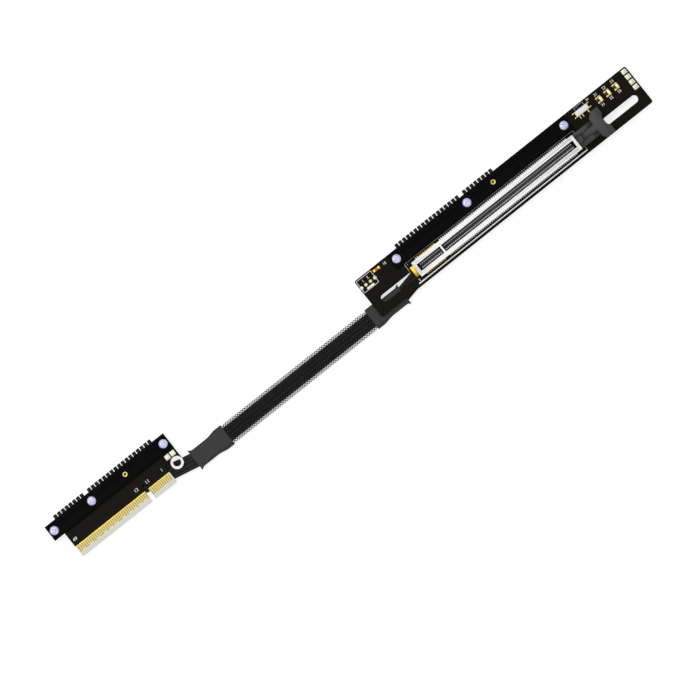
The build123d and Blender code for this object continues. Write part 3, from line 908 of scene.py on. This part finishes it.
@dataclass
class Cable:
    """The core of stacked ribbons and the braid over it."""

    carriers: int = 10
    braid_pitch: float = 13.36
    strand_width: float = 0.34
    strand_thick: float = 0.14
    weave: float = 0.08
    braid_width: float = 9.8
    braid_height: float = 4.1
    held_width: float = 9.2
    held_len: float = 2.6
    ease_len: float = 2.4
    steps: int = 5
    core_layer_pitch: float = 0.49
    core_thick: float = 0.44

    def route(self, node: str) -> list[Vector]:
        """The line that a cord follows, read from its own smooth curve."""
        block = Block.of(node)
        ends = [Vector((x, block.middle.y, block.middle.z)) for x in (block.lo.x, block.hi.x)]
        middle = (ends[0] + ends[1]) / 2
        return read_route([p * MM for p in (ends[0], middle, ends[1])])

    def strand_outline(self) -> list[Point]:
        """Across a strand: two filaments wide, flat with rounded edges."""
        half, thin = self.strand_width / 2, self.strand_thick / 2
        return [
            (-half, 0.0),
            (-half * 0.6, thin),
            (half * 0.6, thin),
            (half, 0.0),
            (half * 0.6, -thin),
            (-half * 0.6, -thin),
        ]

    def strand(self, route: list[Vector], hand: int, carrier: int) -> Stock:
        """One strand of the braid.

        Args:
            route: the cord's line.
            hand: 1 or -1, the way that it winds.
            carrier: its number in that hand.

        Returns:
            The strand's own stock.
        """
        reach = self.strand_thick / 2 + self.weave
        tube = Sheath(self.braid_width - 2 * reach, self.braid_height - 2 * reach)
        start, end = route[0] / MM, route[-1] / MM
        run = (end - start).length
        forward = (end - start) / run
        across = UP.cross(forward)
        crossing = self.braid_pitch / self.carriers / 2
        count = round(run / crossing * self.steps)
        points, outs = [], []
        for i in range(count + 1):
            along = run * i / count
            walked = hand * along / self.braid_pitch * tube.around + carrier * tube.around / self.carriers
            (y, z), (out_y, out_z) = tube.at(walked)
            lift = hand * self.weave * math.cos(math.pi * along / crossing)
            out = across * out_y + UP * out_z
            y *= self.spread_at(min(along, run - along))
            points.append(start + forward * along + across * y + UP * z + out * lift)
            outs.append(out)
        stations = []
        for i, point in enumerate(points):
            ahead = points[min(i + 1, count)] - points[max(i - 1, 0)]
            side = ahead.cross(outs[i]).normalized()
            stations.append(placed(point, side, outs[i]))
        stock = Stock()
        stock.swept(self.strand_outline(), stations)
        return stock

    def spread_at(self, depth: float) -> float:
        """The share of its full width that the sleeve has at a distance from its nearer end,
        where a heat-shrink holds it in."""
        share = min(max((depth - self.held_len) / self.ease_len, 0.0), 1.0)
        held = self.held_width / self.braid_width
        return held + (1 - held) * (3 - 2 * share) * share * share

    def braid(self) -> None:
        """The sleeve: as many strands one way as the other, over and under by turns."""
        route = self.route("braided_sleeve")
        stock = Stock()
        for hand in (1, -1):
            for carrier in range(self.carriers):
                strand = self.strand(route, hand, carrier)
                stock.add(strand, Matrix.Identity(4))
                strand.mesh.free()
        sleeve = stock.outward().piece("sleeve_braid", Surface.BRAID, smooth=70)
        seat(sleeve, "sleeve_braid", "braided_sleeve")
        run = sum((b - a).length for a, b in zip(route, route[1:]))
        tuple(route[0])

    def core(self, ribbons: Ribbons) -> None:
        """The straight run of all the ribbons inside the sleeve."""
        route = self.route("cable_core")
        start, end = route[0] / MM, route[-1] / MM
        thin = Ribbons(ribbons.end, ribbons.plan, ribbons.toward, thick=self.core_thick, groove=0.05)
        stock = Stock()
        for index in range(thin.lane_count + thin.aux_count):
            column, layer = divmod(index, thin.layers)
            shift = Vector((0, thin.column_shift(column, layer), 0))
            shift.z = ((thin.layers - 1) / 2 - layer) * self.core_layer_pitch
            ends = [placed(point + shift, Vector((0, 1, 0)), UP) for point in (start, end)]
            stock.swept(thin.outline(), ends)
        core = stock.outward().piece("core_bundle", Surface.RIBBON, smooth=60)
        seat(core, "ribbon_black", "cable_core")
        run = sum((b - a).length for a, b in zip(route, route[1:]))
        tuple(route[0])


@dataclass
class HeatShrink:
    """A shrunk tube: flared mouth, waist drawn down on the ribbons, swell over the sleeve."""

    end: str
    toward: int
    flare: float = 10.6
    flare_len: float = 1.8
    waist: float = 8.8
    waist_len: float = 7.4
    swell: float = 10.4
    swell_len: float = 6.0
    wall: float = 0.3
    corner: float = 1.4
    around: int = 72
    wrinkle: float = 0.035

    def width_at(self, along: float) -> float:
        """The tube's width at a distance from its mouth."""
        if along < self.flare_len:
            share = along / self.flare_len
            return self.flare + (self.waist - self.flare) * math.sin(share * math.pi / 2)
        past = along - self.flare_len - self.waist_len
        share = min(max(past / self.swell_len, 0.0), 1.0)
        return self.waist + (self.swell - self.waist) * (3 - 2 * share) * share * share

    def build(self) -> None:
        """Makes the tube with its two open ends."""
        node = self.end + "_heat_shrink"
        block = Block.of(node)
        length = block.hi.x - block.lo.x
        height = block.hi.z - block.lo.z
        mouth = block.lo.x if self.toward > 0 else block.hi.x
        tube = FlatTube(self.waist, height, self.corner)
        rows = 48
        stations = []
        for row in range(rows + 1):
            along = length * row / rows
            origin = Vector((mouth + self.toward * along, block.middle.y, block.middle.z))
            stretch = Matrix.Diagonal((self.width_at(along) / self.waist, 1, 1, 1))
            stations.append(placed(origin, Vector((0, 1, 0)), UP) @ stretch)
        stock = Stock()
        stock.swept(tube.outline(self.around), stations, closed=False)
        stock.outward()
        self.crease(stock, block)
        piece = stock.piece(node + "_shrunk", Surface.SHRINK, smooth=60)
        wall = piece.modifiers.new("wall", "SOLIDIFY")
        wall.thickness = self.wall * MM
        # The open tube's faces look inwards, so this is the side that the wall grows to.
        wall.offset = 1.0
        lip = piece.modifiers.new("lip", "BEVEL")
        lip.width = 0.07 * MM
        lip.segments = 2
        lip.limit_method = "ANGLE"
        lip.angle_limit = math.radians(50)
        seat(piece, "shrink_grey", node)

    def crease(self, stock: Stock, block: Block) -> None:
        """Draws the wall in a little where it lies over the grooves between the columns."""
        for vert in stock.mesh.verts:
            along = abs(vert.co.x - (block.lo.x if self.toward > 0 else block.hi.x))
            y = vert.co.y - block.middle.y
            fade = math.exp(-(((along - 5.5) / 3.6) ** 2))
            hollow = 0.5 + 0.5 * math.cos(math.tau * y / 1.75)
            ripple = math.sin(along * 2.1 + y * 0.8) * math.sin(along * 0.9 - y * 1.7)
            depth = self.wrinkle * (hollow * fade + 0.5 + 0.5 * ripple)
            inward = block.middle.z - vert.co.z
            if abs(inward) > 1.5:
                vert.co.z += math.copysign(depth, inward)


@dataclass
class Screws:
    """The pan-head screws that clamp one end's covers, with a cross recess in each head."""

    end: str
    plan: Plan
    head_r: float = 2.0
    head_h: float = 1.3
    shank_r: float = 1.0
    recess_len: float = 2.1
    recess_w: float = 0.5
    recess_depth: float = 0.75
    tip_recess: float = 1.1

    def build(self, places: list[Vector]) -> None:
        """Makes the three screws.

        Args:
            places: each screw's axis on the cover's face.
        """
        node = self.end + "_cover_screws"
        block = Block.of(node)
        seat_z = block.hi.z - self.head_h
        stock, cutter = Stock(), Stock()
        for place in places:
            centre = Vector((place.x, place.y, 0))
            head = [
                (0.0, block.hi.z),
                (self.head_r * 0.45, block.hi.z - 0.02),
                (self.head_r * 0.75, block.hi.z - 0.14),
                (self.head_r * 0.93, block.hi.z - 0.42),
                (self.head_r, block.hi.z - 0.85),
                (self.head_r, seat_z + 0.1),
                (self.head_r - 0.1, seat_z),
                (self.shank_r, seat_z),
                (self.shank_r, block.lo.z + 0.12),
                (self.shank_r - 0.12, block.lo.z),
                (0.0, block.lo.z),
            ]
            stock.turned(head, centre)
            top = Vector((place.x, place.y, block.hi.z))
            low = Vector((place.x, place.y, block.lo.z))
            self.cross(cutter, top, self.recess_len, -self.recess_depth)
            self.cross(cutter, low, self.tip_recess, 0.3)
        piece = stock.outward().piece(node + "_plated", Surface.SCREW, smooth=35)
        tool = cutter.outward().piece("recess", Surface.SCREW)
        carve(piece, tool)
        seat(piece, "screw_steel", node)

    def cross(self, cutter: Stock, at: Vector, length: float, depth: float) -> None:
        """Adds one cross-shaped cutter that narrows towards the bottom of the recess."""
        half, arm = length / 2, self.recess_w / 2
        quarter = [(half, -arm), (half, arm), (arm, arm)]
        outline = []
        for turn in range(4):
            cos, sin = (1, 0, -1, 0)[turn], (0, 1, 0, -1)[turn]
            outline += [(x * cos - y * sin, x * sin + y * cos) for x, y in quarter]
        turned = Matrix.Translation(at) @ Matrix.Rotation(math.radians(20), 4, "Z")
        outside = turned @ Matrix.Translation((0, 0, -math.copysign(0.3, depth)))
        bottom = turned @ Matrix.Translation((0, 0, depth)) @ Matrix.Diagonal((0.55, 0.55, 1, 1))
        cutter.swept(outline, [outside, turned, bottom])


@dataclass
class Bush:
    """The brass bush in a front cover: a rolled lip round a small bore."""

    end: str
    bore_r: float = 0.5

    def build(self) -> None:
        """Makes the bush."""
        node = self.end + "_cover_insert"
        block = Block.of(node)
        r = (block.hi.x - block.lo.x) / 2
        low, high = block.lo.z, block.hi.z
        ring = [
            (self.bore_r, low),
            (self.bore_r, high - 0.2),
            (self.bore_r + 0.12, high - 0.03),
            (self.bore_r + 0.25, high),
            (r - 0.12, high),
            (r, high - 0.1),
            (r, low),
            (self.bore_r, low),
        ]
        stock = Stock()
        stock.turned(ring, Vector((block.middle.x, block.middle.y, 0)))
        seat(stock.outward().piece(node + "_turned", Surface.BRASS, smooth=35), "insert_brass", node)


@dataclass
class CardSocket:
    """The card socket: the housing with its throats painted dark as shade, and its rows of spring contacts.
    """

    plan: Plan
    contact_pitch: float = 1.0
    contact_w: float = 0.5
    spring_w: float = 0.66
    contact_t: float = 0.2
    short_row: int = 11
    long_row: int = 71
    across_key: float = 3.0
    gold_first: int = 2
    gold_count: int = 8
    throat_half: float = 1.76
    spine_h: float = 2.4
    plated_h: float = 0.6
    dimple_r: float = 0.45
    dimple_in: float = 0.95
    dimple_depth: float = 0.35

    def housing(self) -> None:
        """The moulded body with rounded edges and a round mark near each corner."""
        block = Block.of("slot_housing")
        stock = Stock.of_node("slot_housing")
        middle, top = block.middle, block.hi.z
        stock.soften(0.12, 2, 50.0)
        for face in stock.mesh.faces:
            centre = face.calc_center_median()
            # Faces down in the throats take painted shade: near black on the walls and lead-ins, grey on the
            # spine's top.
            inside = abs(centre.y - middle.y) < self.throat_half and centre.z < top - 0.02
            if inside and abs(face.normal.x) < 0.9 and block.lo.x + 2 < centre.x < block.hi.x - 2:
                spine = face.normal.z > 0.9 and centre.z < self.plan.face + self.spine_h + 0.1
                face.material_index = 2 if spine else 1
            elif inside and block.lo.x + 1 < centre.x < block.hi.x - 1:
                face.material_index = 1
        body = stock.piece("slot_housing_moulded", Surface.SLOT, Surface.THROAT, Surface.SPINE, smooth=30)
        cutter = Stock()
        for x in (block.lo.x + self.dimple_in, block.hi.x - self.dimple_in):
            for y in (block.lo.y + self.dimple_in, block.hi.y - self.dimple_in):
                cutter.turned(
                    [
                        (0.0, top - self.dimple_depth),
                        (self.dimple_r, top - self.dimple_depth),
                        (self.dimple_r, top + 1),
                        (0.0, top + 1),
                    ],
                    Vector((x, y, 0)),
                    20,
                )
        carve(body, cutter.outward().piece("dimples", Surface.SLOT))
        seat(body, "slot_white", "slot_housing")

    def spring(self, side: int) -> Stock:
        """One spring contact at x 0: a foot, a leaning blade, and a tip that curls back."""
        line = eased(
            [
                Vector((0, side * 4.35, 0.125)),
                Vector((0, side * 1.13, 0.125)),
                Vector((0, side * 1.1, 4.5)),
                Vector((0, side * 1.08, 8.3)),
                Vector((0, side * 0.54, 9.5)),
                Vector((0, side * 1.04, 9.62)),
            ],
            0.4,
            3,
        )
        stations = []
        last = len(line) - 1
        side_on = Vector((1, 0, 0))
        for i, point in enumerate(line):
            ahead = (line[min(i + 1, last)] - line[max(i - 1, 0)]).normalized()
            wide = self.spring_w / self.contact_w if point.z > 5 else 1.0
            spot = placed(point, side_on, ahead.cross(side_on))
            stations.append(spot @ Matrix.Diagonal((wide, 1, 1, 1)))
        half_w, half_t = self.contact_w / 2, self.contact_t / 2
        stock = Stock()
        stock.swept([(-half_w, -half_t), (half_w, -half_t), (half_w, half_t), (-half_w, half_t)], stations)
        return stock.outward()

    def contacts(self) -> None:
        """All three rows of contacts, each for its own node."""
        housing = Block.of("slot_housing")
        gold = Block.of("power_contacts")
        upper = Block.of("signal_contacts_upper")
        first = upper.lo.x + self.contact_w / 2
        short = [first + i * self.contact_pitch for i in range(self.short_row)]
        long = [short[-1] + self.across_key + i * self.contact_pitch for i in range(self.long_row)]
        gold_row = [x for x in short if gold.lo.x < x < gold.hi.x]
        signal = [x for x in short + long if x not in gold_row]
        rows = (
            ("power_contacts", (1, -1), gold_row, "gold_plate", Surface.GOLD),
            ("signal_contacts_upper", (1,), signal, "contact_metal", Surface.TIN),
            ("signal_contacts_lower", (-1,), signal, "contact_metal", Surface.TIN),
        )
        for node, sides, row, slot, finish in rows:
            stock = Stock()
            for side in sides:
                spring = self.spring(side)
                for face in spring.mesh.faces:
                    above = face.calc_center_median().z > self.plated_h
                    face.material_index = 1 if above else 0
                for x in row:
                    stock.add(spring, Matrix.Translation((x, housing.middle.y, self.plan.face)))
                spring.mesh.free()
            seat(stock.piece(node + "_sprung", finish, Surface.TIN, smooth=50), slot, node)


class Legend:
    """White epoxy ink on a board's face."""

    thick = 0.02
    line_w = 0.2

    def __init__(self, plan: Plan) -> None:
        """Starts an empty print on a board.

        Args:
            plan: the board's plan.
        """
        self.plan = plan
        self.stock = Stock()

    def bar(self, u: Point, v: Point) -> None:
        """A filled bar between two values of u and of v."""
        low = self.plan.at(u[0], v[1], self.plan.face)
        high = self.plan.at(u[1], v[0], self.plan.face + self.thick)
        self.stock.block(low, high)

    def box(self, u: Point, v: Point) -> None:
        """Four thin lines round a rectangle."""
        for edge in u:
            self.bar((edge - self.line_w / 2, edge + self.line_w / 2), v)
        for edge in v:
            self.bar(u, (edge - self.line_w / 2, edge + self.line_w / 2))

    def ring(self, u: float, v: float, outer: float, inner: float) -> None:
        """A ring about a point."""
        profile = [(inner, 0.0), (outer, 0.0), (outer, self.thick), (inner, self.thick), (inner, 0.0)]
        self.stock.turned(profile, self.plan.at(u, v, self.plan.face), 48)

    def dot(self, u: float, v: float, r: float) -> None:
        """A filled round dot."""
        profile = [(0.0, 0.0), (r, 0.0), (r, self.thick), (0.0, self.thick)]
        self.stock.turned(profile, self.plan.at(u, v, self.plan.face), 24)

    def number(self, text: str, u: float, v: float, height: float) -> None:
        """A plain number, centred on a point."""
        curve = bpy.data.curves.new("number", "FONT")
        curve.body = text
        curve.size = height / 0.7
        curve.align_x = "CENTER"
        curve.align_y = "CENTER"
        curve.extrude = self.thick / 2
        holder = bpy.data.objects.new("number", curve)
        mesh = bpy.data.meshes.new_from_object(holder)
        mesh.transform(Matrix.Translation(self.plan.at(u, v, self.plan.face + self.thick / 2)))
        self.stock.mesh.from_mesh(mesh)
        bpy.data.objects.remove(holder)
        bpy.data.curves.remove(curve)
        bpy.data.meshes.remove(mesh)

    def finish(self, name: str, ink: Surface) -> None:
        """Makes the print's piece."""
        seat(self.stock.piece(name, ink, smooth=30), "light_white")


@dataclass
class SocketEnd:
    """The long board with its card socket, latch, switch, lights and pads."""

    plan: Plan = field(default_factory=lambda: Plan.of("socket_board"))
    screw_v: float = 3.73
    header_u: tuple[float, float] = (3.28, 5.82)
    header_v: float = 4.26

    def build(self) -> None:
        """Makes and dresses every piece of this end."""
        dress("socket_board", SolderMask("mask_over_laminate", "#0D0B05", "#121008", 0.42, gloss=0.05))
        softened("socket_front_cover", "cover_black", Surface.COVER, 0.08)
        softened("socket_rear_cover", "cover_black", Surface.COVER, 0.08)
        Ribbons("socket", self.plan, -1).build()
        HeatShrink("socket", -1).build()
        Screws("socket", self.plan).build(self.screw_places())
        Bush("socket").build()
        card = CardSocket(self.plan)
        card.housing()
        card.contacts()
        softened("slot_solder_tab", "gold_plate", Surface.GOLD, 0.06)
        softened("latch_base", "latch_grey", Surface.LATCH, 0.15)
        softened("card_latch", "latch_grey", Surface.LATCH, 0.18, body="card_latch")
        softened("switch_shell", "switch_white", Surface.SWITCH, 0.1)
        softened("switch_slider", "switch_black", Surface.SLIDER, 0.06, body="switch_slider")
        softened("switch_pins", "gold_plate", Surface.CHIP_END, 0.04)
        softened("status_lights", "light_white", Surface.LIGHT, 0.08)
        softened("light_resistors", "resistor_black", Surface.CHIP, 0.06)
        softened("chip_lamp", "lamp_red", Surface.LAMP, 0.08)
        softened("chip_ends", "gold_plate", Surface.CHIP_END, 0.1)
        softened("socket_solder_pads", "solder_tin", Surface.PAD, 0.02)
        pad_solder("socket_solder_pads", self.plan.face)
        self.header_pads()
        self.legend()

    def screw_places(self) -> list[Vector]:
        """The three screws' axes: one at each end of the cover and one between the banks."""
        return screw_axes("socket", self.plan, self.screw_v)

    def header_pads(self) -> None:
        """Gold ring pads round the header's holes, on both faces."""
        stock = Stock()
        for u in self.header_u:
            for z in (self.plan.face, self.plan.back - 0.04):
                profile = [(0.5, 0.0), (0.8, 0.0), (0.8, 0.04), (0.5, 0.04), (0.5, 0.0)]
                stock.turned(profile, self.plan.at(u, self.header_v, z), 32)
        seat(stock.outward().piece("header_ring_pads", Surface.FINGER), "gold_plate")

    def legend(self) -> None:
        """Outlines and plain numbers printed on the socket board."""
        ink = Legend(self.plan)
        ink.box((0.63, 8.53), (0.66, 6.71))
        ink.bar((2.68, 6.48), (5.6, 6.47))
        for u in (0.9, 8.26):
            ink.dot(u, self.header_v, 0.75)
        ink.number("1", self.header_u[0], 2.25, 1.2)
        ink.number("2", self.header_u[1], 2.25, 1.2)
        ink.number("10", 15.3, 2.0, 1.2)
        ink.bar((21.7, 115.3), (18.05, 18.6))
        ink.number("1", 22.9, 8.7, 1.0)
        ink.number("2", 22.9, 17.1, 1.0)
        for index, u in enumerate((132.8, 137.4, 141.9)):
            ink.number(str(index + 21), u, 1.75, 1.25)
            ink.number(str(index + 31), u, 7.2, 1.25)
        ink.number("20", 128.6, 1.2, 1.0)
        ink.finish("socket_board_legend", Surface.INK)
        thin = Legend(self.plan)
        thin.bar((21.7, 115.3), (7.7, 7.9))
        thin.bar((21.6, 21.85), (7.7, 11.5))
        thin.bar((115.1, 115.35), (7.7, 9.1))
        thin.bar((115.1, 115.35), (16.9, 17.95))
        thin.bar((121.6, 126.3), (0.45, 0.65))
        for u in (121.6, 126.1):
            thin.bar((u, u + 0.2), (0.45, 1.75))
        thin.finish("socket_board_outlines", Surface.FAINT_INK)


@dataclass
class PlugEnd:
    """The short board with its keyed gold edge and screw lug."""

    plan: Plan = field(default_factory=lambda: Plan.of("plug_board"))
    screw_v: float = 3.73
    strip: float = 5.5
    tie_w: float = 0.3
    lug_v: float = 13.8
    lug_in: float = 2.95
    tongues: tuple[Point, Point] = ((5.3, 43.7), (45.85, 57.25))

    def build(self) -> None:
        """Makes and dresses every piece of this end."""
        board = Block.of("plug_board")
        bare_y = board.lo.y + self.strip
        dress(
            "plug_board",
            SolderMask("mask_over_laminate_edge", "#0D0B05", "#121008", 0.42, gloss=0.05, bare_y=bare_y),
        )
        softened("plug_front_cover", "cover_black", Surface.COVER, 0.08)
        softened("plug_rear_cover", "cover_black", Surface.COVER, 0.08)
        Ribbons("plug", self.plan, 1).build()
        HeatShrink("plug", 1).build()
        Screws("plug", self.plan).build(screw_axes("plug", self.plan, self.screw_v))
        Bush("plug").build()
        self.tie_bars(board)
        dress("edge_fingers_front", Surface.FINGER)
        dress("edge_fingers_rear", Surface.FINGER)
        softened("plug_solder_pads", "solder_tin", Surface.PAD, 0.02)
        pad_solder("plug_solder_pads", self.plan.face)
        self.legend(board.hi.x - board.lo.x)

    def tie_bars(self, board: Block) -> None:
        """The thin plating line across the tops of each tongue's fingers, a hair prouder than them."""
        front, rear = Block.of("edge_fingers_front"), Block.of("edge_fingers_rear")
        stock = Stock()
        for u in self.tongues:
            for low, high in ((self.plan.face, front.hi.z + 0.01), (rear.lo.z - 0.01, self.plan.back)):
                stock.block(
                    Vector((board.lo.x + u[0], front.hi.y - self.tie_w, low)),
                    Vector((board.lo.x + u[1], front.hi.y, high)),
                )
        seat(stock.piece("plating_tie_bars", Surface.TIE), "gold_plate")

    def legend(self, length: float) -> None:
        """Contact numbers and the lug's ring."""
        ink = Legend(self.plan)
        for text, u in (("49", 7.2), ("12", 41.2), ("11", 47.3), ("1", 55.3)):
            ink.number(text, u, 12.3, 1.5)
        ink.ring(length - self.lug_in, self.lug_v, 2.85, 1.75)
        ink.finish("plug_board_legend", Surface.INK)


def screw_axes(end: str, plan: Plan, screw_v: float) -> list[Vector]:
    """Finds the axes of one end's three screws: two from their node's box, one between the banks."""
    screws = Block.of(end + "_cover_screws")
    lanes, aux = Block.of(end + "_lane_ribbons"), Block.of(end + "_aux_ribbons")
    width, pitch, count = Ribbons.width, Ribbons.pitch, Ribbons.aux_count
    if end == "socket":
        between = (lanes.hi.x + aux.hi.x - (count - 1) * pitch - width) / 2
    else:
        between = (lanes.lo.x + aux.lo.x + (count - 1) * pitch + width) / 2
    middle = Screws.head_r
    y = plan.top - screw_v
    return [Vector((x, y, plan.face)) for x in (screws.lo.x + middle, between, screws.hi.x - middle)]


def pad_solder(node: str, face: float) -> None:
    """Puts a low cushion of solder on the middle of each pad that lies on the front face."""
    stock = Stock.of_node(node)
    islands = []
    seen: set[int] = set()
    for vert in stock.mesh.verts:
        if vert.index in seen or vert.co.z < face - 0.01:
            continue
        group, queue = [], [vert]
        while queue:
            one = queue.pop()
            if one.index in seen:
                continue
            seen.add(one.index)
            group.append(one.co.copy())
            queue.extend(e.other_vert(one) for e in one.link_edges)
        islands.append(group)
    stock.mesh.free()
    drops = Stock()
    for group in islands:
        lo = Vector([min(p[i] for p in group) for i in range(3)])
        hi = Vector([max(p[i] for p in group) for i in range(3)])
        inset = Vector((0.5, 0.45, 0))
        drops.block(Vector((lo.x, lo.y, hi.z)) + inset, Vector((hi.x, hi.y, hi.z + 0.1)) - inset)
    drops.soften(0.09, 4)
    seat(drops.outward().piece(node.replace("_pads", "_drops"), Surface.SOLDER), "solder_tin")


@dataclass(frozen=True)
class Softbox:
    """One studio light: where it stands, how large it is and how strong."""

    name: str
    place: tuple[float, float, float]
    size: float
    watts: float

    def build(self) -> None:
        """Makes the light, aimed at the object."""
        lamp = bpy.data.lights.new(self.name, "AREA")
        lamp.shape = "SQUARE"
        lamp.size = self.size
        lamp.energy = self.watts
        holder = bpy.data.objects.new(self.name, lamp)
        holder.location = self.place
        holder.rotation_mode = "QUATERNION"
        holder.rotation_quaternion = (-Vector(self.place)).to_track_quat("-Z", "Y")
        holder.visible_camera = False
        bpy.context.scene.collection.objects.link(holder)


@dataclass
class Studio:
    """Floor, soft lights and the camera that looks straight down."""

    lens: float = 400.0
    sensor: float = 36.0
    frame_width: float = 304.3
    turn: float = -38.55
    aim: tuple[float, float] = (-9.26, -11.8)
    face_z: float = 6.4
    sky: float = 0.32

    def build(self) -> None:
        """Makes the stage round the object."""
        self.floor()
        self.camera()
        softboxes = (
            Softbox("overhead_softbox", (-0.25, 0.45, 1.6), 1.1, 15),
            Softbox("left_softbox", (-1.1, 0.5, 1.0), 0.9, 3.4),
            Softbox("right_softbox", (1.1, -0.4, 1.0), 0.9, 3.0),
            Softbox("front_softbox", (-0.3, -1.2, 1.0), 0.8, 2.0),
        )
        for light in softboxes:
            light.build()
        world = bpy.data.worlds.new("studio")
        world.use_nodes = True
        world.node_tree.nodes["Background"].inputs["Color"].default_value = linear("#FFFFFF")
        world.node_tree.nodes["Background"].inputs["Strength"].default_value = self.sky
        bpy.context.scene.world = world
        bpy.context.scene.view_settings.view_transform = "Standard"

    def floor(self) -> None:
        """A plain sheet of white paper, wide enough for every view."""
        stock = Stock()
        bmesh.ops.create_grid(stock.mesh, x_segments=1, y_segments=1, size=8000)
        sheet = stock.piece("floor", Surface.FLOOR)

    def camera(self) -> None:
        """A long lens straight above, turned so that the cable runs as in the photograph."""
        data = bpy.data.cameras.new("camera")
        data.lens = self.lens
        data.sensor_width = self.sensor
        data.clip_end = 50.0
        holder = bpy.data.objects.new("camera", data)
        height = self.face_z + self.frame_width * self.lens / self.sensor
        holder.location = Vector((*self.aim, height)) * MM
        holder.rotation_euler = (0, 0, math.radians(self.turn))
        bpy.context.scene.collection.objects.link(holder)
        bpy.context.scene.camera = holder


def main() -> None:
    """Builds the stage and every piece."""
    logging.basicConfig(level=logging.INFO, format="%(name)s %(message)s")
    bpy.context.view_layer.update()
    Studio().build()
    cable = Cable()
    cable.braid()
    cable.core(Ribbons("socket", Plan.of("socket_board"), -1))
    SocketEnd().build()
    PlugEnd().build()


if __name__ == "__main__":
    main()
